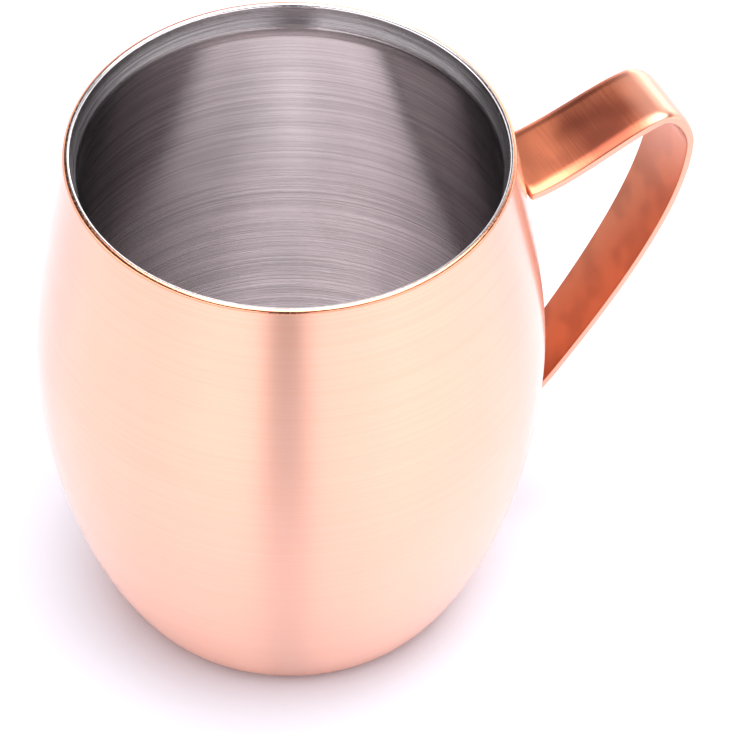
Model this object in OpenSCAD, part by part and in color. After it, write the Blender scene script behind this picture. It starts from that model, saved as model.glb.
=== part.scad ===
// Double-wall copper mug: a copper-plated barrel shell, a steel liner seam-welded to it
// at the lip, a recessed base plate and a strap handle welded on at two places.
// Millimetres, +Z up. The origin is the centre of the foot on the mug's axis,
// and the handle points along +X.

/* [Barrel] */
// Height from the foot to the top of the lip
body_h = 105; // [80:1:140]
// Outside diameter of the lip
mouth_d = 80; // [66:1:88]
// Outside diameter at the widest place
belly_d = 93.8; // [90:0.2:120]
// Height of the widest place
belly_z = 57; // [44:1:66]
// Outside diameter just above the rounded foot corner
base_d = 68; // [56:1:84]
// Radius of the foot corner
foot_round = 3; // [2:0.5:5]
// Thickness of the shell's sheet
shell_wall = 0.7; // [0.5:0.1:1.2]

/* [Liner] */
// Thickness of the liner's sheet
liner_wall = 0.7; // [0.5:0.1:1.2]
// Air gap between the shell and the liner
air_gap = 2.1; // [1.2:0.1:3.5]
// Depth of the neck below the top of the lip
neck_drop = 3; // [2.5:0.5:8]
// Height of the liner's floor above the foot
floor_z = 7; // [5.5:0.5:12]
// Height of the rounded corner between the floor and the wall
floor_round = 9; // [5:0.5:16]

/* [Base] */
// Width of the flange that the shell turns in under the foot
flange_w = 4.5; // [3:0.5:8]
// Thickness of the base plate
plate_t = 0.8; // [0.5:0.1:1.2]
// Rise of the plate's middle above its rim
plate_rise = 1.2; // [0.5:0.1:2]
// Width of the plate's rim where it laps onto the flange
plate_lap = 2.5; // [1.5:0.5:3]

/* [Handle] */
// Width of the strap at its upper end, on the barrel
strap_w = 16.5; // [13:0.5:20]
// Width of the strap at its crest
crest_w = 15; // [12:0.5:19]
// Width of the strap at its lower end
strap_low_w = 10.5; // [8:0.5:18]
// Thickness of the strap
strap_t = 2; // [1.5:0.1:3.5]
// Distance from the top of the lip down to the strap's upper end
handle_drop = 21.6; // [14:0.2:32]
// Height of the strap's lower end above the foot
handle_foot_z = 20.5; // [14:0.5:30]
// Distance from the widest place of the barrel out to the handle's bend
handle_reach = 32.6; // [26:0.1:44]
// Rise of the strap from its upper end to its crest
handle_rise = 7.8; // [3:0.1:14]
// Width of the outer bend, from its crest to its outermost place
bend_w = 7.7; // [5:0.1:12]
// Depth of the outer bend
bend_d = 10; // [5:0.1:14]
// Distance from the shell out to the knee above the strap's lower end
knee_out = 11.9; // [6:0.1:16]
// Height of the knee above the strap's lower end
knee_up = 8.3; // [4:0.1:14]

/* [Welds] */
// Radius of the two beads that hold the strap
bead_r = 1.5; // [1:0.1:2]
// Length of the bead under the strap's upper end
bead_l = 12; // [6:0.5:13]
// Length of the bead under the strap's lower end
low_bead_l = 8; // [4:0.5:10]
// Gap between the strap's ends and the shell, which the beads fill
root_gap = 0.3; // [0.1:0.1:0.8]
// Radius of the bead around the base plate
base_bead_r = 0.6; // [0.3:0.1:0.7]

/* [Hidden] */
$fn = 96;
copper = [0.93, 0.68, 0.57];
steel = [0.66, 0.65, 0.67];
weld_copper = [0.80, 0.54, 0.44];

// Number of straight steps on each curve of an outline
steps = 14;
corner_steps = 6;
// Angle of the outward normal where the foot corner meets the barrel's side
foot_angle = -30;
// How full each curve of the barrel's side is, as shares of the height it spans
foot_pull = 0.25;
belly_pull_low = 0.39;
belly_pull_high = 0.27;
shoulder_drop = 0.37;
shoulder_out = 0.45;
// Shape of the liner's floor corner, as shares of its height
corner_in = 0.35;
corner_out = 0.12;
corner_down = 0.55;
// Share of the neck's depth over which the liner turns upright at each end
neck_pull = 0.35;
// Width of the plate's sloping part for each unit of its rise
plate_slope = 2.5;

mouth_r = mouth_d / 2;
belly_r = belly_d / 2;
base_r = base_d / 2;
lip_r = (shell_wall + liner_wall) / 2;
lip_z = body_h - lip_r;
seam_r = mouth_r - shell_wall;
neck_z = body_h - neck_drop;
liner_skin = shell_wall + air_gap;
liner_inside = liner_skin + liner_wall;

// A point, and the direction of travel, on a cubic Bezier curve
function bez(a, b, c, d, t) =
    a * (1 - t) ^ 3 + 3 * b * t * (1 - t) ^ 2 + 3 * c * t ^ 2 * (1 - t) + d * t ^ 3;
function bez_run(a, b, c, d, t) =
    (b - a) * (1 - t) ^ 2 + 2 * (c - b) * t * (1 - t) + (d - c) * t ^ 2;
function unit(v) = v / norm(v);
function left_of(v) = [-v[1], v[0]];
function curve(a, b, c, d, n) = [for (i = [0 : n]) bez(a, b, c, d, i / n)];

// A Bezier curve moved sideways by d, to the left of its direction of travel
function curve_beside(a, b, c, e, n, d) =
    [for (i = [0 : n]) bez(a, b, c, e, i / n) + d * left_of(unit(bez_run(a, b, c, e, i / n)))];

// Control points of the barrel's side, [radius, height]
foot_c = [base_r - foot_round * cos(foot_angle), foot_round];
side_a = foot_c + foot_round * [cos(foot_angle), sin(foot_angle)];
side_b = side_a + foot_pull * belly_z * [-sin(foot_angle), cos(foot_angle)];
side_c = [belly_r, (1 - belly_pull_low) * belly_z];
side_d = [belly_r, belly_z];
side_e = [belly_r, belly_z + belly_pull_high * (lip_z - belly_z)];
side_f = [mouth_r + shoulder_out * (belly_r - mouth_r),
          lip_z - shoulder_drop * (lip_z - belly_z)];
side_g = [mouth_r, lip_z];

// Outline of the shell's skin moved inward by d, from the foot up to the lip
function foot_arc(d) = [for (i = [0 : corner_steps])
    foot_c + (foot_round - d) * [cos(-90 + i * (90 + foot_angle) / corner_steps),
                                 sin(-90 + i * (90 + foot_angle) / corner_steps)]];
function side(d) = concat(
    curve_beside(side_a, side_b, side_c, side_d, steps, d),
    [for (i = [1 : steps]) curve_beside(side_d, side_e, side_f, side_g, steps, d)[i]]);
function reversed(p) = [for (i = [len(p) - 1 : -1 : 0]) p[i]];
function above(p, z) = [for (q = p) if (q[1] > z) q];
function below(p, z) = [for (q = p) if (q[1] < z) q];
// Radius at height z of the skin moved inward by d
function side_r(d, z) = lookup(z, [for (q = side(d)) [q[1], q[0]]]);

// Shell: the skin and the same line one wall inside it, cut level at the lip
module outer_shell() {
    color(copper)
    rotate_extrude()
    polygon(concat(
        [[foot_c[0] - flange_w, 0]],
        foot_arc(0),
        [for (i = [1 : 2 * steps]) side(0)[i]],
        [[seam_r, lip_z]],
        reversed(below([for (i = [1 : 2 * steps]) side(shell_wall)[i]], lip_z - lip_r)),
        reversed(foot_arc(shell_wall)),
        [[foot_c[0] - flange_w, shell_wall]]));
}

// One face of the liner, at d inside the shell's skin, from the floor's edge to the lip.
// low_z is the floor's height on that face and lip_edge the radius where it ends at the lip.
corner_z = floor_z + floor_round;
function liner_face(d, low_z, lip_edge) = concat(
    curve([side_r(d, corner_z) - floor_round, low_z],
          [side_r(d, corner_z) - corner_in * floor_round, low_z],
          [side_r(d, corner_z) - corner_out * floor_round, corner_z - corner_down * floor_round],
          [side_r(d, corner_z), corner_z], steps),
    below(above(side(d), corner_z + 1), neck_z - 1),
    curve([side_r(d, neck_z), neck_z],
          [side_r(d, neck_z) - 0.1, neck_z + neck_pull * neck_drop],
          [lip_edge, lip_z - neck_pull * neck_drop],
          [lip_edge, lip_z], corner_steps));

module inner_liner() {
    color(steel)
    rotate_extrude()
    polygon(concat(
        [[0, floor_z - liner_wall]],
        liner_face(liner_skin, floor_z - liner_wall, seam_r),
        reversed(liner_face(liner_inside, floor_z, seam_r - liner_wall)),
        [[0, floor_z]]));
}

// Half-round bead over the two sheets at the lip
module rim_weld() {
    color(steel)
    rotate_extrude()
    difference() {
        translate([mouth_r - lip_r, lip_z])
            circle(r = lip_r, $fn = 48);
        translate([mouth_r - 2 * lip_r - 1, lip_z - lip_r - 1])
            square([2 * lip_r + 2, lip_r + 1]);
    }
}

// Base plate: a rim that lies on the flange, a short cone and a raised middle
flange_r = foot_c[0] - flange_w;
module base_plate() {
    color(copper)
    rotate_extrude()
    polygon([
        [0, shell_wall + plate_rise],
        [flange_r - plate_slope * plate_rise, shell_wall + plate_rise],
        [flange_r - 1, shell_wall],
        [flange_r + plate_lap, shell_wall],
        [flange_r + plate_lap, shell_wall + plate_t],
        [flange_r - 1, shell_wall + plate_t],
        [flange_r - plate_slope * plate_rise, shell_wall + plate_rise + plate_t],
        [0, shell_wall + plate_rise + plate_t]]);
}

// Quarter-round bead in the corner between the flange's edge and the plate
module base_weld() {
    color(weld_copper)
    rotate_extrude()
    intersection() {
        translate([flange_r, shell_wall])
            circle(r = base_bead_r, $fn = 32);
        translate([flange_r - base_bead_r - 1, shell_wall - base_bead_r - 1])
            square([base_bead_r + 1, base_bead_r + 1]);
    }
}

// Solid barrel, used to trim what is welded to it; grow is the gap left around it
module barrel_core(grow) {
    rotate_extrude($fn = 480)
    polygon(concat([[0, 0]], foot_arc(-grow), [for (i = [1 : 2 * steps]) side(-grow)[i]],
                   [[0, lip_z]]));
}

// Places on the strap's outer face, [x, z]
handle_top_z = body_h - handle_drop;
top_x = side_r(0, handle_top_z - strap_t) + root_gap;
reach_x = belly_r + handle_reach;
crest = [reach_x - bend_w, handle_top_z + handle_rise];
outermost = [reach_x, crest[1] - bend_d];
foot_x = side_r(0, handle_foot_z);
knee = [foot_x + knee_out, handle_foot_z + knee_up];
leg_way = unit([outermost[0] - knee[0], outermost[1] - knee[1]]);
leg_l = norm(outermost - knee);

// The strap's four stretches, each as the control points of its curve
top_run = crest[0] - top_x;
top_bend = [[top_x, handle_top_z],
            [top_x + 0.32 * top_run, handle_top_z],
            [crest[0] - 0.27 * top_run, crest[1] - 0.11 * handle_rise],
            crest];
outer_bend = [crest,
              [crest[0] + 0.53 * bend_w, crest[1] + 0.02 * bend_d],
              [reach_x, outermost[1] + 0.43 * bend_d],
              outermost];
leg_bend = [outermost,
            [reach_x, outermost[1] - 0.26 * leg_l],
            knee + 0.41 * leg_l * unit([0.61, 0.79]),
            knee];
foot_bend = [knee,
             knee - 0.38 * knee_out * [0.8, 1],
             [foot_x + 0.3 * knee_out, handle_foot_z + 0.16 * knee_up],
             [foot_x - 2, handle_foot_z - 0.1 * knee_up]];

// One stretch of the strap's side outline, d to the left of its outer face
function stretch(p, d) = curve_beside(p[0], p[1], p[2], p[3], steps, d);
function leg_face(d) = concat(stretch(outer_bend, d),
    [for (i = [1 : steps]) stretch(leg_bend, d)[i]],
    [for (i = [1 : steps]) stretch(foot_bend, d)[i]]);

// A side outline in the XZ plane, made w wide along Y
module across(w, outline) {
    rotate([90, 0, 0])
    linear_extrude(height = w, center = true)
    polygon(outline);
}

// The strap's top, from the barrel to the crest, narrowing as it leaves the barrel
module strap_top() {
    intersection() {
        across(strap_w + 2, concat(
            [[top_x, handle_top_z - strap_t]],
            [for (i = [1 : steps]) stretch(top_bend, -strap_t)[i]],
            reversed(stretch(top_bend, 0))));
        translate([0, 0, handle_top_z - strap_t - 1])
            linear_extrude(height = handle_rise + strap_t + 2)
            polygon([[top_x - 1, -strap_w / 2], [crest[0] + 1, -crest_w / 2],
                     [crest[0] + 1, crest_w / 2], [top_x - 1, strap_w / 2]]);
    }
}

// The strap's bend and leg, from the crest down to the barrel, narrowing all the way
module strap_leg() {
    low_z = handle_foot_z - strap_t;
    intersection() {
        across(crest_w + 2, concat(reversed(leg_face(0)), leg_face(-strap_t)));
        rotate([90, 0, 90])
            linear_extrude(height = reach_x + 1)
            polygon([[-strap_low_w / 2, low_z], [strap_low_w / 2, low_z],
                     [crest_w / 2, crest[1] - strap_t], [crest_w / 2, crest[1] + 1],
                     [-crest_w / 2, crest[1] + 1], [-crest_w / 2, crest[1] - strap_t]]);
    }
}

module strap_body() {
    strap_top();
    strap_leg();
}

module handle_strap() {
    color(copper)
    difference() {
        strap_body();
        barrel_core(root_gap);
    }
}

// A bead along Y at [x, z], cut to the barrel on one side and to the strap on the other
module strap_bead(x, z, l) {
    color(weld_copper)
    difference() {
        translate([x, 0, z])
            rotate([90, 0, 0])
            cylinder(r = bead_r, h = l, center = true);
        barrel_core(0);
        strap_body();
    }
}

module handle_weld_top() {
    strap_bead(top_x, handle_top_z - strap_t, bead_l);
}

module handle_weld_bottom() {
    strap_bead(foot_x + root_gap, handle_foot_z, low_bead_l);
}

outer_shell();
inner_liner();
rim_weld();
base_plate();
base_weld();
handle_strap();
handle_weld_top();
handle_weld_bottom();
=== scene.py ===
# Looks of a double-wall copper mug with a brushed steel liner and a strap handle,
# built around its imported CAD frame. Metres, +Z up, handle along +X.
import math

import bmesh
import bpy
import numpy as np
from mathutils import Matrix, Vector


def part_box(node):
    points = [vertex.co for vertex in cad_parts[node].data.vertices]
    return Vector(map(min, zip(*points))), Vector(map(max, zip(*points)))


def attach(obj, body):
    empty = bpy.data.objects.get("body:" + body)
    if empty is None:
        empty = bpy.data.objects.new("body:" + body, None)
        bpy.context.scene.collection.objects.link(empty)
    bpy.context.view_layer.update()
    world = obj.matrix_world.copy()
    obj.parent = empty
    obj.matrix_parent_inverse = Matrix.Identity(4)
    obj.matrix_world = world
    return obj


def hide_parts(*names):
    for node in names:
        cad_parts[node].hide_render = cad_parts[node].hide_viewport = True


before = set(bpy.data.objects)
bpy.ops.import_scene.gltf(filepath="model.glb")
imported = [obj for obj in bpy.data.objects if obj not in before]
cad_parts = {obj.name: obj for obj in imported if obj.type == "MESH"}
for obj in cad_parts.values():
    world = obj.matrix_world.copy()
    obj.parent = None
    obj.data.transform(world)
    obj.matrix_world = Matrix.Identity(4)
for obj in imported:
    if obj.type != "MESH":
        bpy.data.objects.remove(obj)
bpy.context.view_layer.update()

MM = 0.001

# ---- Sizes, from the frame and from the mug's design --------------------------------

shell_low, shell_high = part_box("outer_shell")
rim_low, rim_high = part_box("rim_weld")
liner_low, liner_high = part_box("inner_liner")
plate_low, plate_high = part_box("base_plate")
strap_low, strap_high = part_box("handle_strap")

BODY_H = rim_high.z                     # foot to the top of the lip
MOUTH_R = rim_high.x                    # outer radius of the lip
BELLY_R = -shell_low.x                  # radius at the widest place
LIP_Z = rim_low.z                       # where the seam bead starts
WALL = BODY_H - LIP_Z                   # thickness of the shell and of the liner
BELLY_Z = 57 * MM                       # height of the widest place
BASE_R = 34 * MM                        # radius just above the foot corner
FOOT_ROUND = 3 * MM                     # radius of the foot corner
FOOT_ANGLE = math.radians(-30)          # outward normal where that corner meets the side
FLANGE_W = 4.5 * MM                     # flange turned in under the foot
LINER_SKIN = 2.8 * MM                   # from the barrel's skin to the liner's outside
LINER_IN = LINER_SKIN + WALL            # from the barrel's skin to the liner's inside
NECK_DROP = 3 * MM                      # depth of the liner's neck below the lip
FLARE_Z = BODY_H - 2.3 * NECK_DROP      # where the liner's wall starts to turn outward
FLARE_PULL = 0.9 * NECK_DROP            # how softly it turns
NECK_Z = BODY_H - 1.4 * NECK_DROP       # lower edge of the duller neck band
FLOOR_Z = liner_low.z + WALL            # the liner's floor
FLOOR_ROUND = 9 * MM                    # height of the corner around the floor
FLOOR_EDGE_Z = FLOOR_Z + 0.2 * FLOOR_ROUND      # upper edge of the floor's duller finish
PLATE_LOW = plate_low.z                 # underside of the base plate's rim
PLATE_T = 0.8 * MM                      # thickness of the base plate
PLATE_RISE = 1.2 * MM                   # rise of the plate's middle
STRAP_W = strap_high.y - strap_low.y    # width of the strap on the barrel
CREST_W = 15 * MM                       # width of the strap at its crest
STRAP_LOW_W = 10.5 * MM                 # width of the strap at its lower end
STRAP_T = 2 * MM                        # thickness of the strap
HANDLE_TOP_Z = BODY_H - 21.6 * MM       # outer face of the strap's upper end
HANDLE_FOOT_Z = 20.5 * MM               # outer face of the strap's lower end
HANDLE_RISE = 7.8 * MM                  # from the upper end to the crest
BEND_W = 7.7 * MM                       # from the crest out to the outermost place
BEND_D = 10 * MM                        # from the crest down to the outermost place
KNEE = (11.9 * MM, 8.3 * MM)            # from the strap's lower end, out and up
ROOT_GAP = 0.3 * MM                     # between the strap's ends and the shell
BEAD_R = 1.5 * MM                       # radius of the handle's two weld beads
TOP_BEAD_L = 12 * MM                    # length of the bead under the upper end
LOW_BEAD_L = 8 * MM                     # length of the bead under the lower end
BASE_BEAD_R = 0.6 * MM                  # radius of the bead around the base plate
ROUND = 288                             # steps round the axis on the turned pieces
COINCIDE = 0.0001 * MM                  # points nearer than this are one point


# ---- Curves -------------------------------------------------------------------------

def vec(*numbers):
    """A point or a direction as an array."""
    return np.array(numbers, float)


def unit(v):
    """The direction of v, with length 1."""
    return v / np.linalg.norm(v)


def bezier(a, b, c, d, n):
    """Points along the cubic curve from a to d, in n steps."""
    t = np.linspace(0, 1, n + 1)[:, None]
    return a * (1 - t) ** 3 + 3 * b * t * (1 - t) ** 2 + 3 * c * t ** 2 * (1 - t) + d * t ** 3


def travel(path):
    """Unit direction of travel at each point of a path."""
    way = np.gradient(path, axis=0)
    return way / np.linalg.norm(way, axis=1)[:, None]


def beside(path, d):
    """The path moved by d to the left of its direction of travel."""
    way = travel(path)
    return path + d * np.stack([-way[:, 1], way[:, 0]], 1)


def arc(centre, radius, start, end, n):
    """Points along a circle's arc between two angles, in n steps."""
    angle = np.linspace(start, end, n + 1)
    return centre + radius * np.stack([np.cos(angle), np.sin(angle)], 1)


# How far each handle of the barrel's curves reaches, as a share of its own span
FOOT_PULL = 0.25
BELLY_PULL_LOW = 0.39
BELLY_PULL_HIGH = 0.27
SHOULDER_DROP = 0.37
SHOULDER_OUT = 0.45
# The same for the liner's floor corner
CORNER_IN = 0.35
CORNER_OUT = 0.12
CORNER_DOWN = 0.55

FOOT_C = vec(BASE_R - FOOT_ROUND * math.cos(FOOT_ANGLE), FOOT_ROUND)
FLANGE_R = FOOT_C[0] - FLANGE_W


def barrel_side(n=64):
    """The barrel's side from the foot corner to the lip, as radius and height."""
    a = FOOT_C + FOOT_ROUND * vec(math.cos(FOOT_ANGLE), math.sin(FOOT_ANGLE))
    b = a + FOOT_PULL * BELLY_Z * vec(-math.sin(FOOT_ANGLE), math.cos(FOOT_ANGLE))
    top = LIP_Z - BELLY_Z
    belly = vec(BELLY_R, BELLY_Z)
    lower = bezier(a, b, vec(BELLY_R, (1 - BELLY_PULL_LOW) * BELLY_Z), belly, n)
    shoulder = vec(MOUTH_R + SHOULDER_OUT * (BELLY_R - MOUTH_R), LIP_Z - SHOULDER_DROP * top)
    upper = bezier(belly, vec(BELLY_R, BELLY_Z + BELLY_PULL_HIGH * top), shoulder,
                   vec(MOUTH_R, LIP_Z), n)
    return np.vstack([lower, upper[1:]])


SIDE = barrel_side()


def side_r(d, z):
    """Radius at height z of the barrel's side moved inward by d."""
    line = beside(SIDE, d)
    return float(np.interp(z, line[:, 1], line[:, 0]))


TOP_X = side_r(0, HANDLE_TOP_Z - STRAP_T) + ROOT_GAP
CREST = vec(strap_high.x - BEND_W, HANDLE_TOP_Z + HANDLE_RISE)
FOOT = vec(side_r(0, HANDLE_FOOT_Z), HANDLE_FOOT_Z)

# How far each handle of the strap's curves reaches, as a share of the stretch it is on
TOP_PULL = 0.32
CREST_PULL = (0.27, 0.11)               # back and down from the crest
BEND_PULL = (0.53, 0.02)                # out and up from the crest
OUTERMOST_PULL_UP = 0.43
OUTERMOST_PULL_DOWN = 0.26
KNEE_PULL_UP = 0.41
KNEE_PULL_DOWN = 0.38
FOOT_PULL_OUT = (0.3, 0.16)             # out and up from the strap's lower end
# Ways that the strap takes through the knee
KNEE_WAY_UP = (0.61, 0.79)
KNEE_WAY_DOWN = (0.8, 1)
# How far the strap's lower end is drawn on past the barrel's side, in and down
FOOT_PAST = vec(2 * MM, 0.1 * KNEE[1])


# ---- Mesh helpers ---------------------------------------------------------------------

def mesh_object(name, points, faces, sharp=35):
    """A smooth-shaded mesh, with edges sharper than the given angle left crisp."""
    mesh = bpy.data.meshes.new(name)
    mesh.from_pydata([tuple(p) for p in points], [], faces)
    mesh.validate()
    bm = bmesh.new()
    bm.from_mesh(mesh)
    bmesh.ops.remove_doubles(bm, verts=bm.verts, dist=COINCIDE)
    bmesh.ops.recalc_face_normals(bm, faces=bm.faces)
    bm.to_mesh(mesh)
    bm.free()
    for face in mesh.polygons:
        face.use_smooth = True
    mesh.set_sharp_from_angle(angle=math.radians(sharp))
    obj = bpy.data.objects.new(name, mesh)
    bpy.context.scene.collection.objects.link(obj)
    return obj


def turned(name, outline):
    """A closed outline of (radius, height) points turned round the axis."""
    count = len(outline)
    angles = np.arange(ROUND) * 2 * math.pi / ROUND
    points = [(r * math.cos(a), r * math.sin(a), z) for a in angles for r, z in outline]
    faces = []
    for i in range(ROUND):
        here, there = i * count, ((i + 1) % ROUND) * count
        for j in range(count):
            k = (j + 1) % count
            if outline[j][0] < 1e-9 and outline[k][0] < 1e-9:
                continue
            faces.append((here + j, there + j, there + k, here + k))
    return mesh_object(name, points, faces)


def lofted(name, rings, closed=False, sharp=35):
    """Loops of points joined one to the next, capped at both ends unless closed."""
    count = len(rings[0])
    points = [p for ring in rings for p in ring]
    faces = []
    for i in range(len(rings) if closed else len(rings) - 1):
        here, there = i * count, ((i + 1) % len(rings)) * count
        for j in range(count):
            k = (j + 1) % count
            faces.append((here + j, here + k, there + k, there + j))
    if not closed:
        last = (len(rings) - 1) * count
        faces.append(tuple(range(count)))
        faces.append(tuple(last + j for j in reversed(range(count))))
    return mesh_object(name, points, faces, sharp)


# ---- Materials ------------------------------------------------------------------------

class Nodes:
    """A short way to write a material's node tree."""

    def __init__(self, name, **constants):
        """A metal or paint with the given constants on its shader's sockets."""
        self.mat = bpy.data.materials.new(name)
        self.mat.use_nodes = True
        self.tree = self.mat.node_tree
        self.shader = self.tree.nodes["Principled BSDF"]
        for socket, value in constants.items():
            self.shader.inputs[socket.replace("_", " ")].default_value = value

    def add(self, kind, **settings):
        """A new node with its settings."""
        node = self.tree.nodes.new(kind)
        for key, value in settings.items():
            setattr(node, key, value)
        return node

    def feed(self, socket, value):
        """Give a socket a number, a colour or another node's output."""
        if isinstance(value, (int, float)):
            socket.default_value = value
        elif isinstance(value, tuple):
            socket.default_value = (*value, 1)
        else:
            self.tree.links.new(value, socket)

    def set(self, name, value):
        """Give one of the shader's sockets a value."""
        self.feed(self.shader.inputs[name], value)

    def math(self, operation, a, b):
        """The result of a sum or another operation on two values."""
        node = self.add("ShaderNodeMath", operation=operation)
        self.feed(node.inputs[0], a)
        self.feed(node.inputs[1], b)
        return node.outputs[0]

    def plus(self, a, b):
        return self.math("ADD", a, b)

    def times(self, a, b):
        return self.math("MULTIPLY", a, b)

    def blend(self, *parts):
        """Sum of (share, value) parts."""
        total = 0.0
        for share, value in parts:
            total = self.plus(self.times(value, share), total)
        return total

    def noise(self, vector, scale, detail=2.0):
        """Cloudy noise from 0 to 1, with the given number of cells to the metre."""
        node = self.add("ShaderNodeTexNoise")
        self.feed(node.inputs["Scale"], scale)
        self.feed(node.inputs["Detail"], detail)
        self.feed(node.inputs["Vector"], vector)
        return node.outputs["Fac"]

    def stretched(self, vector, scales, detail=2.0):
        """Noise with its own scale along each axis, for brush lines."""
        node = self.add("ShaderNodeVectorMath", operation="MULTIPLY")
        self.feed(node.inputs[0], vector)
        node.inputs[1].default_value = scales
        return self.noise(node.outputs[0], 1.0, detail)

    def span(self, value, low, high, out_low=0.0, out_high=1.0):
        """A smooth step of the value from low to high."""
        node = self.add("ShaderNodeMapRange", interpolation_type="SMOOTHSTEP")
        for k, number in enumerate((low, high, out_low, out_high)):
            node.inputs[1 + k].default_value = number
        self.feed(node.inputs[0], value)
        return node.outputs[0]

    def mix(self, factor, a, b):
        """The first colour where the factor is 0, the second where it is 1."""
        node = self.add("ShaderNodeMix", data_type="RGBA")
        self.feed(node.inputs[0], factor)
        self.feed(node.inputs[6], a)
        self.feed(node.inputs[7], b)
        return node.outputs[2]

    def bump(self, height, distance):
        """Relief of the given depth in metres."""
        node = self.add("ShaderNodeBump")
        node.inputs["Distance"].default_value = distance
        self.feed(node.inputs["Height"], height)
        self.set("Normal", node.outputs[0])

    def place(self):
        """The point on the piece, in metres."""
        return self.add("ShaderNodeTexCoord").outputs["Object"]

    def radius(self, point):
        """A point's distance from the mug's axis."""
        flat = self.add("ShaderNodeVectorMath", operation="MULTIPLY")
        self.feed(flat.inputs[0], point)
        flat.inputs[1].default_value = (1, 1, 0)
        length = self.add("ShaderNodeVectorMath", operation="LENGTH")
        self.feed(length.inputs[0], flat.outputs[0])
        return length.outputs["Value"]

    def part(self, vector, axis):
        """The x, y or z part of a vector."""
        split = self.add("ShaderNodeSeparateXYZ")
        self.feed(split.inputs[0], vector)
        return split.outputs[axis]

    def facing(self, axis):
        """One part of the surface's own direction, from -1 to 1."""
        return self.part(self.add("ShaderNodeTexCoord").outputs["Normal"], axis)

    def along_wall(self, point, radius):
        """x, y and the way up a wall or out along a floor, so that lines run round the axis."""
        join = self.add("ShaderNodeCombineXYZ")
        self.feed(join.inputs[0], self.part(point, 0))
        self.feed(join.inputs[1], self.part(point, 1))
        self.feed(join.inputs[2], self.plus(self.part(point, 2), radius))
        return join.outputs[0]


def brushed_round(name, colour, dark, roughness, anisotropy, line_depth, **constants):
    """Metal brushed round the mug's axis: fine lines, longer scratches, soft mottling.

    Each noise is stretched round the axis: few cells per metre along it, many across it.
    """
    m = Nodes(name, Metallic=1.0, Anisotropic=anisotropy, Anisotropic_Rotation=0.25,
              **constants)
    point = m.place()
    wall = m.along_wall(point, m.radius(point))
    fine = m.stretched(wall, (12, 12, 5200))
    middle = m.stretched(wall, (9, 9, 2900))
    broad = m.stretched(wall, (10, 10, 600), 3.0)
    cloud = m.noise(point, 70, 3.0)
    tone = m.blend((0.65, middle), (0.15, broad), (0.2, cloud))
    m.set("Base Color", m.mix(m.span(tone, 0.38, 0.62), dark, colour))
    m.set("Roughness", m.span(middle, 0.3, 0.7, roughness - 0.02, roughness + 0.02))
    tangent = m.add("ShaderNodeTangent", direction_type="RADIAL", axis="Z")
    m.set("Tangent", tangent.outputs[0])
    m.bump(m.blend((0.85, fine), (0.15, middle)), line_depth)
    return m.mat


COPPER = (0.94, 0.475, 0.325)
COPPER_WORN = (0.93, 0.445, 0.30)
RIM_COPPER = (0.80, 0.33, 0.20)
STEEL = (0.78, 0.73, 0.735)
STEEL_WORN = (0.60, 0.56, 0.57)
STEEL_DULL = (0.54, 0.505, 0.525)
STEEL_DARK = (0.36, 0.335, 0.35)
STEEL_NECK = (0.47, 0.44, 0.45)
HANDLE_COPPER = (0.78, 0.24, 0.125)
HANDLE_DARK = (0.26, 0.068, 0.04)
# Painted highlight colour for the strap's bend, its narrow sides and the inner face under the
# bend
HANDLE_PAINTED_HIGHLIGHT = (0.92, 0.41, 0.29)
# Painted shade colours for the strap's face toward the barrel, mixed by random blotches
HANDLE_INNER_SHADED = (0.46, 0.155, 0.082)
HANDLE_INNER_SHADED_DARK = (0.37, 0.125, 0.07)
WELD_COPPER = (0.86, 0.40, 0.26)
WELD_DARK = (0.58, 0.24, 0.15)

LACQUER = {"Coat_Weight": 1.0, "Coat_Roughness": 0.18, "Coat_IOR": 1.75}
copper_body = brushed_round("copper_brushed_round", COPPER, COPPER_WORN, 0.36, 1.0, 4e-6,
                            **LACQUER)
copper_base = brushed_round("copper_turned_base", COPPER, COPPER_WORN, 0.34, 0.8, 8e-6)
steel_inside = brushed_round("steel_brushed_round", STEEL, STEEL_WORN, 0.135, 1.0, 5.5e-5)
steel_neck = brushed_round("steel_neck", STEEL_NECK, STEEL_DARK, 0.24, 1.0, 9e-5)
steel_floor = brushed_round("steel_turned_floor", STEEL_DULL, STEEL_DARK, 0.42, 0.8, 2e-5)


def rim_material():
    """The seam bead: copper plate outside its crest and bare steel inside it."""
    m = Nodes("rim_copper_and_steel", Metallic=1.0)
    point = m.place()
    # The copper plate ends at an uneven line near the bead's crest
    border = MOUTH_R - 0.72 * MM
    edge = m.plus(m.radius(point), m.times(m.noise(point, 500, 3.0), 0.25 * MM))
    copper_share = m.span(edge, border + 0.05 * MM, border + 0.22 * MM)
    m.set("Base Color", m.mix(copper_share, STEEL, RIM_COPPER))
    grain = m.noise(point, 2200, 3.0)
    m.set("Roughness", m.span(grain, 0.3, 0.7, 0.16, 0.28))
    m.bump(grain, 8e-6)
    return m.mat


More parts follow.
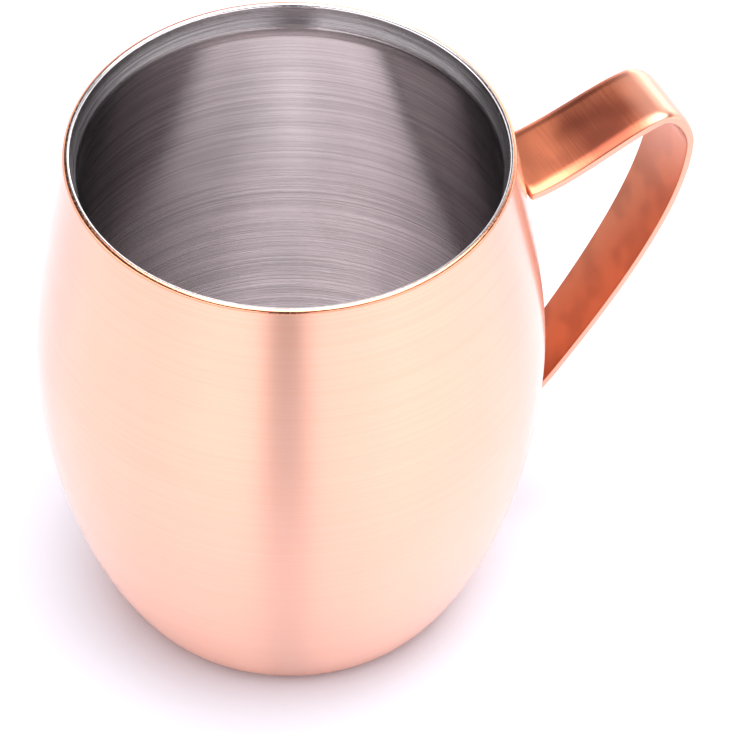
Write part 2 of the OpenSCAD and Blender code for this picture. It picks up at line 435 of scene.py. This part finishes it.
def handle_material():
    """Copper plate brushed across the strap, with random dark mottling, painted shade on its top
    away from the upper joint, painted highlights on its bend and narrow sides, and painted shade
    on the face toward the barrel.
    """
    m = Nodes("copper_brushed_across", Metallic=1.0)
    point = m.place()
    x, z = m.part(point, 0), m.part(point, 2)
    lines = m.stretched(point, (3400, 110, 3400))
    cloud = m.noise(point, 60, 2.0)
    # Painted shade: the strap's top is painted lighter near its upper joint and darker towards
    # the crest
    painted_shade_gradient = m.span(x, TOP_X + 4 * MM, CREST[0] - 12 * MM, 1, 0)
    tone = m.blend((0.1, lines), (0.6, cloud), (0.2, painted_shade_gradient))
    outer = m.mix(m.span(tone, 0.3, 0.6), HANDLE_DARK, HANDLE_COPPER)

    # Painted highlights: the bend and the strap's narrow sides are painted bright, picked by
    # place and by the way the surface faces
    side = m.span(m.math("ABSOLUTE", m.facing(1), 0.0), 0.6, 0.85)
    bend = m.span(x, CREST[0] - 5 * MM, CREST[0] + 1 * MM)
    outer = m.mix(m.math("MAXIMUM", side, bend), outer, HANDLE_PAINTED_HIGHLIGHT)

    # Painted shade for the face toward the barrel: a darker, more orange copy of the copper, with
    # random blotches
    blotches = m.span(m.noise(point, 150, 1.0), 0.36, 0.62)
    inner = m.mix(blotches, HANDLE_INNER_SHADED_DARK, HANDLE_INNER_SHADED)
    # Painted highlight: the face toward the barrel is painted lighter just under the bend
    painted_highlight_under_bend = m.span(z, CREST[1] - 26 * MM, CREST[1] - 8 * MM, 0, 0.5)
    inner = m.mix(painted_highlight_under_bend, inner, HANDLE_PAINTED_HIGHLIGHT)

    # Painted shade: faces turned toward the barrel take the darker, more orange colour
    painted_shade_toward_barrel = m.span(m.facing(0), -0.75, -0.45, 1, 0)
    m.set("Base Color", m.mix(painted_shade_toward_barrel, outer, inner))
    m.set("Roughness", m.span(cloud, 0.25, 0.75, 0.27, 0.34))
    m.bump(m.blend((0.12, lines), (0.88, cloud)), 2.5e-5)
    return m.mat


def weld_material():
    """Copper-plated weld metal with a fine grain."""
    m = Nodes("weld_copper", Metallic=1.0)
    grain = m.noise(m.place(), 900, 3.0)
    m.set("Base Color", m.mix(m.span(grain, 0.35, 0.65), WELD_DARK, WELD_COPPER))
    m.set("Roughness", m.span(grain, 0.3, 0.7, 0.28, 0.42))
    m.bump(grain, 2e-5)
    return m.mat


rim_metal = rim_material()
handle_copper = handle_material()
weld_copper = weld_material()


def place_piece(obj, material, slot, *nodes):
    """Fix a piece to the mug, with its material and the CAD nodes it replaces; the slot argument
    is not used.
    """
    if not obj.data.materials:
        obj.data.materials.append(material)
    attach(obj, "root")
    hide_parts(*nodes)


# ---- Turned pieces ----------------------------------------------------------------------

def build_shell():
    """The skin from the flange to the lip, and the same line one wall inside it."""
    skin = np.vstack([arc(FOOT_C, FOOT_ROUND, -math.pi / 2, FOOT_ANGLE, 12), SIDE[1:]])
    inner = beside(SIDE, WALL)
    inner = inner[inner[:, 1] < LIP_Z - 0.5 * WALL]
    corner = arc(FOOT_C, FOOT_ROUND - WALL, -math.pi / 2, FOOT_ANGLE, 12)
    edge = vec(FLANGE_R, 0)
    burr = 0.15 * MM
    outline = np.vstack([edge + vec(0, burr), edge + vec(burr, 0), skin,
                         vec(MOUTH_R - WALL, LIP_Z), inner[:0:-1], corner[::-1],
                         edge + vec(0, WALL)])
    return turned("shell", outline)


def liner_face(d, low_z, lip_edge):
    """One face of the liner, d inside the shell's skin, from the floor's edge to the lip."""
    corner_z = FLOOR_Z + FLOOR_ROUND
    r = side_r(d, corner_z)
    corner = bezier(vec(r - FLOOR_ROUND, low_z), vec(r - CORNER_IN * FLOOR_ROUND, low_z),
                    vec(r - CORNER_OUT * FLOOR_ROUND, corner_z - CORNER_DOWN * FLOOR_ROUND),
                    vec(r, corner_z), 24)
    wall = beside(SIDE, d)
    wall = wall[(wall[:, 1] > corner_z + 0.5 * MM) & (wall[:, 1] < FLARE_Z)]
    flare = bezier(wall[-1], wall[-1] + FLARE_PULL * travel(wall)[-1],
                   vec(lip_edge, LIP_Z - FLARE_PULL), vec(lip_edge, LIP_Z), 28)[1:]
    return np.vstack([corner, wall, flare])


def rings_across(start, end, z, pitch, depth):
    """Turned rings on a flat face, from radius start to radius end."""
    radii = np.arange(start, end, math.copysign(pitch / 4, end - start))
    return np.stack([radii, z + depth * np.cos(radii / pitch * 2 * math.pi)], 1)


def build_liner():
    """A closed cup: outside, lip edge, inside and floor, with its turned rings."""
    floor_edge, ring_pitch, ring_depth = 0.3 * MM, 1.6 * MM, 0.06 * MM
    seam = MOUTH_R - WALL
    outside = liner_face(LINER_SKIN, FLOOR_Z - WALL, seam)
    inside = liner_face(LINER_IN, FLOOR_Z, seam - WALL)
    rings = rings_across(inside[0][0] - floor_edge, floor_edge, FLOOR_Z, ring_pitch, ring_depth)
    outline = np.vstack([vec(0, FLOOR_Z - WALL), outside, inside[::-1], rings,
                         vec(0, FLOOR_Z)])
    liner = turned("liner", outline)
    for material in (steel_inside, steel_neck, steel_floor):
        liner.data.materials.append(material)
    for face in liner.data.polygons:
        if face.center.z > NECK_Z:
            face.material_index = 1
        elif face.center.z < FLOOR_EDGE_Z:
            face.material_index = 2
    return liner


def build_rim():
    """The seam bead: steep on its inner side, with a long slope on its outer side."""
    inner_r = MOUTH_R - 2 * WALL
    # The crest stands nearer the inner side, and the curves reach shares of the wall
    crest = vec(inner_r + 0.8 * WALL, BODY_H)
    inner = bezier(vec(inner_r, LIP_Z), vec(inner_r, LIP_Z + 0.6 * WALL),
                   crest - vec(0.4 * WALL, 0), crest, 12)
    outer = bezier(crest, crest + vec(0.5 * WALL, 0),
                   vec(MOUTH_R, LIP_Z + 0.7 * WALL), vec(MOUTH_R, LIP_Z), 14)
    return turned("rim", np.vstack([inner, outer[1:]]))


def build_plate():
    """The base plate: a rim lapped on the flange, a cone, and a ringed middle."""
    lap_r = plate_high.x
    slope_r = FLANGE_R - 1 * MM
    flat_r = FLANGE_R - 2.5 * PLATE_RISE
    low, high = PLATE_LOW, PLATE_LOW + PLATE_RISE
    pitch, depth = 1.1 * MM, 0.015 * MM
    rings = rings_across(0.4 * MM, flat_r - 0.6 * MM, high + depth, pitch, depth)
    outline = np.vstack([vec(0, high), rings, vec(flat_r, high), vec(slope_r, low),
                         vec(lap_r, low), vec(lap_r, low + PLATE_T),
                         vec(slope_r, low + PLATE_T), vec(flat_r, high + PLATE_T),
                         vec(0, high + PLATE_T)])
    return turned("base_plate_turned", outline)


def build_base_weld(ripples=140, steps=8):
    """A rippled bead in the corner between the flange's edge and the plate."""
    rings = []
    for i in range(ripples * steps):
        a = 2 * math.pi * i / (ripples * steps)
        size = BASE_BEAD_R * (0.9 + 0.1 * math.cos(a * ripples))
        curve = arc(vec(FLANGE_R, PLATE_LOW), size, -math.pi / 2, -math.pi, 6)
        section = [(FLANGE_R, PLATE_LOW), *curve]
        rings.append([(r * math.cos(a), r * math.sin(a), z) for r, z in section])
    return lofted("base_bead", rings, closed=True)


place_piece(build_shell(), copper_body, "copper", "outer_shell")
place_piece(build_liner(), steel_inside, "steel", "inner_liner")
place_piece(build_rim(), rim_metal, "rim", "rim_weld")
place_piece(build_plate(), copper_base, "base_copper", "base_plate")
place_piece(build_base_weld(), weld_copper, "weld", "base_weld")


# ---- Handle -----------------------------------------------------------------------------

def strap_stretches():
    """The strap's outer face seen from the side: its top, bend, leg and foot."""
    outermost = vec(strap_high.x, CREST[1] - BEND_D)
    knee = FOOT + vec(*KNEE)
    leg = np.linalg.norm(outermost - knee)
    run = CREST[0] - TOP_X
    top = bezier(vec(TOP_X, HANDLE_TOP_Z), vec(TOP_X + TOP_PULL * run, HANDLE_TOP_Z),
                 CREST - vec(CREST_PULL[0] * run, CREST_PULL[1] * HANDLE_RISE), CREST, 40)
    bend = bezier(CREST, CREST + vec(BEND_PULL[0] * BEND_W, BEND_PULL[1] * BEND_D),
                  outermost + vec(0, OUTERMOST_PULL_UP * BEND_D), outermost, 28)
    lower = bezier(outermost, outermost - vec(0, OUTERMOST_PULL_DOWN * leg),
                   knee + KNEE_PULL_UP * leg * unit(vec(*KNEE_WAY_UP)), knee, 48)
    foot = bezier(knee, knee - KNEE_PULL_DOWN * KNEE[0] * vec(*KNEE_WAY_DOWN),
                  FOOT + vec(FOOT_PULL_OUT[0] * KNEE[0], FOOT_PULL_OUT[1] * KNEE[1]),
                  FOOT - FOOT_PAST, 24)
    return top, bend, lower, foot


def strap_half_width(x, z, on_top):
    """Half the strap's width at a place on its side outline."""
    if on_top:
        share = (x - (TOP_X - 1 * MM)) / (CREST[0] - TOP_X + 2 * MM)
        return (STRAP_W + share * (CREST_W - STRAP_W)) / 2
    low_z = HANDLE_FOOT_Z - STRAP_T
    share = min((z - low_z) / (CREST[1] - STRAP_T - low_z), 1)
    return (STRAP_LOW_W + share * (CREST_W - STRAP_LOW_W)) / 2


def strap_section(n=8):
    """Loop of (side, inset, depth): inset from the strap's edge, depth below its outer face."""
    outer_in, outer_down, inner_round = 2.5 * MM, 0.8 * MM, 0.35 * MM
    quarter = np.linspace(0, math.pi / 2, n + 1)
    outer = [(outer_in * (1 - math.sin(a)), outer_down * (1 - math.cos(a))) for a in quarter]
    inner = [(inner_round * (1 - math.cos(a)), STRAP_T - inner_round * (1 - math.sin(a)))
             for a in quarter]
    half = outer + inner
    return [(1, i, d) for i, d in half] + [(-1, i, d) for i, d in reversed(half)]


def build_strap():
    """The tapered strap, rounded at its upper end and ground to the barrel at its lower."""
    top, bend, lower, foot = strap_stretches()
    line = np.vstack([top, bend[1:], lower[1:], foot[1:]])
    way = travel(line)
    inward = np.stack([way[:, 1], -way[:, 0]], 1)
    section = strap_section()

    def ring(p, n, on_top, shrink=0.0):
        loop = []
        for side, inset, depth in section:
            d = depth + shrink * (1 - 2 * depth / STRAP_T)
            q = p + n * d
            half = strap_half_width(q[0], q[1], on_top) - shrink
            loop.append((q[0], side * (half - inset), q[1]))
        return loop

    # The upper end is cut square and its edges are rounded over
    edge, steps = 0.7 * MM, 6
    rings = []
    for k in range(steps):
        turn = k / steps * math.pi / 2
        ahead = edge * (1 - math.cos(turn))
        rings.append(ring(line[0] + way[0] * ahead, inward[0], True,
                          edge * (1 - math.sin(turn))))
    for k, (p, n) in enumerate(zip(line, inward)):
        if (p - line[0]) @ way[0] > edge or k > len(top):
            rings.append(ring(p, n, k < len(top)))

    # The lower end follows the round barrel, a root gap away from it
    def gap(p):
        return math.hypot(p[0], p[1]) - side_r(-ROOT_GAP, p[2])

    def clear(loop):
        low = loop[0][2] < HANDLE_FOOT_Z + 2 * KNEE[1]
        return not low or min(gap(p) for p in loop) > 0.2 * MM

    rings = [loop for loop in rings if clear(loop)]
    last = []
    for end, before in zip(rings[-1], rings[-2]):
        p = Vector(end)
        step = (p - Vector(before)).normalized()
        # Part of what is left at a time, so that the point settles on the line it follows
        for _ in range(60):
            p += 0.7 * gap(p) * step
        last.append(tuple(p))
    return lofted("strap", rings + [last], sharp=50)


def strap_bead(name, centre, length, ceiling):
    """A rippled bead along Y, kept outside the barrel and under the strap's face."""
    rings = []
    ripple, bluntness, thinnest = 0.8 * MM, 6, 0.02
    for y in np.linspace(-length / 2, length / 2, 97):
        taper = max(1 - (2 * abs(y) / length) ** bluntness, thinnest) ** 0.5
        size = BEAD_R * taper * (0.95 + 0.05 * math.cos(y / ripple * 2 * math.pi))
        ring = []
        for x, z in arc(centre, size, 0, 2 * math.pi, 24)[:-1]:
            z = min(z, float(np.interp(x, ceiling[:, 0], ceiling[:, 1])))
            wall = side_r(0, z)
            if math.hypot(x, y) < wall:
                x = math.sqrt(wall ** 2 - y ** 2)
            ring.append((x, y, z))
        # A point between two that coincide would leave a flap of no thickness
        for j, after in enumerate(ring[1:] + ring[:1]):
            if math.dist(ring[j - 1], after) < COINCIDE:
                ring[j] = ring[j - 1]
        rings.append(ring)
    return lofted(name, rings)


strap_top, strap_bend, strap_lower, strap_foot = strap_stretches()
top_bead = strap_bead("bead_under_upper_end", vec(TOP_X, HANDLE_TOP_Z - STRAP_T), TOP_BEAD_L,
                      beside(strap_top, -STRAP_T))
low_bead = strap_bead("bead_under_lower_end", FOOT + vec(ROOT_GAP, 0), LOW_BEAD_L,
                      strap_foot[::-1])
place_piece(build_strap(), handle_copper, "handle_copper", "handle_strap")
place_piece(top_bead, weld_copper, "weld", "handle_weld_top")
place_piece(low_bead, weld_copper, "weld", "handle_weld_bottom")


# ---- Stage and camera ---------------------------------------------------------------------

HANDLE_TURN = math.radians(26.57)       # how far the handle points away from the camera's right
CAM_RISE = math.radians(46.16)
CAM_ROLL = math.radians(1.08)
CAM_FAR = 741.6 * MM
CAM_LENS = 195.65                       # for a 36 mm sensor
CAM_AIM = (14.4 * MM, 50.1 * MM)        # to the camera's right of the axis, and up
RIGHT = Vector((math.cos(HANDLE_TURN), -math.sin(HANDLE_TURN), 0))
AWAY = Vector((math.sin(HANDLE_TURN), math.cos(HANDLE_TURN), 0))
UP = Vector((0, 0, 1))


def seen(right, away, up):
    """A place given in metres to the camera's right, away from the camera, and up."""
    return RIGHT * right + AWAY * away + UP * up


def toward(turn, distance, height):
    """A place at an angle from the camera's side of the mug, positive to its right."""
    a = math.radians(turn)
    return seen(distance * math.sin(a), -distance * math.cos(a), height)


def build_floor(half=3):
    """A plain pale floor."""
    corners = [(-half, -half, 0), (half, -half, 0), (half, half, 0), (-half, half, 0)]
    floor = mesh_object("floor", corners, [(0, 1, 2, 3)])
    white = Nodes("floor_white", Roughness=0.6, Specular_IOR_Level=0.2)
    white.set("Base Color", (0.725, 0.75, 0.83))
    floor.data.materials.append(white.mat)


def build_backdrop(radius=1.7, height=0.78, gap=10, step=4):
    """A low white wall all round, with a gap where the camera stands."""
    turns = range(gap, 361 - gap, step)
    points = [toward(t, radius, z) for t in turns for z in (0, height)]
    faces = [(2 * k, 2 * k + 2, 2 * k + 3, 2 * k + 1) for k in range(len(turns) - 1)]
    wall = mesh_object("backdrop", points, faces)
    white = Nodes("backdrop_white", Roughness=0.8, Emission_Strength=0.95)
    white.set("Base Color", (0.8, 0.8, 0.8))
    white.set("Emission Color", (1.0, 0.98, 0.99))
    wall.data.materials.append(white.mat)


def build_flag(near=0.26, far=1.6, near_spread=4, far_spread=9):
    """A dark strip on the floor in front, widening away from the mug, that the barrel mirrors."""
    corners = [toward(turn, distance, 1 * MM) for turn, distance in
               ((-near_spread, near), (near_spread, near), (far_spread, far), (-far_spread, far))]
    flag = mesh_object("flag", corners, [(0, 1, 2, 3)])
    black = Nodes("flag_black", Roughness=0.9, Specular_IOR_Level=0.0)
    black.set("Base Color", (0.03, 0.03, 0.03))
    flag.data.materials.append(black.mat)
    flag.visible_camera = False


def build_camera():
    """A long lens that looks down on the mug from the front."""
    target = seen(CAM_AIM[0], 0, CAM_AIM[1])
    back = (UP * math.sin(CAM_RISE) - AWAY * math.cos(CAM_RISE)).normalized()
    up = back.cross(RIGHT)
    cam_right = RIGHT * math.cos(CAM_ROLL) + up * math.sin(CAM_ROLL)
    cam_up = up * math.cos(CAM_ROLL) - RIGHT * math.sin(CAM_ROLL)
    data = bpy.data.cameras.new("camera")
    data.sensor_width = 36
    data.lens = CAM_LENS
    data.clip_end = 20
    camera = bpy.data.objects.new("camera", data)
    bpy.context.scene.collection.objects.link(camera)
    turn = Matrix((cam_right, cam_up, back)).transposed().to_4x4()
    camera.matrix_world = Matrix.Translation(target + back * CAM_FAR) @ turn
    bpy.context.scene.camera = camera


def softbox(name, place, aim, size, glow):
    """A soft light of an even glow, aimed from one place at another."""
    data = bpy.data.lights.new(name, "AREA")
    data.shape = "RECTANGLE"
    data.size, data.size_y = size
    data.energy = glow * math.pi * size[0] * size[1]
    light = bpy.data.objects.new(name, data)
    bpy.context.scene.collection.objects.link(light)
    light.location = place
    light.rotation_euler = (aim - place).to_track_quat("-Z", "Y").to_euler()


def build_lights():
    """Softboxes, none of them in the picture."""
    # A broad box over the mug, a little to its right, aimed a millimetre off straight
    # down, which settles the way that its sides run
    softbox("top_box", seen(0.15, -0.02, 1.0), seen(0.15, -0.019, 0), (1.2, 1.0), 5.8)
    # Four dim boxes in front, with a dark gap at the camera's own place
    for turn, glow in ((-78, 1.1), (-32, 1.05), (32, 0.58), (78, 0.62)):
        softbox("front_box", toward(turn, 1.0, 0.3), seen(0, 0, 0.3), (0.84, 0.56), glow)
    # A dim box behind, which the outer bend mirrors
    softbox("back_box", toward(160, 1.0, 0.5), seen(0, 0, 0.1), (0.8, 0.9), 1.45)


def build_world():
    """A near-black surround, and plain colours."""
    world = bpy.data.worlds.new("studio")
    world.use_nodes = True
    background = world.node_tree.nodes["Background"]
    background.inputs["Color"].default_value = (0.022, 0.018, 0.028, 1)
    bpy.context.scene.world = world
    bpy.context.scene.view_settings.view_transform = "Standard"
    bpy.context.scene.view_settings.look = "None"


build_floor()
build_backdrop()
build_flag()
build_camera()
build_lights()
build_world()
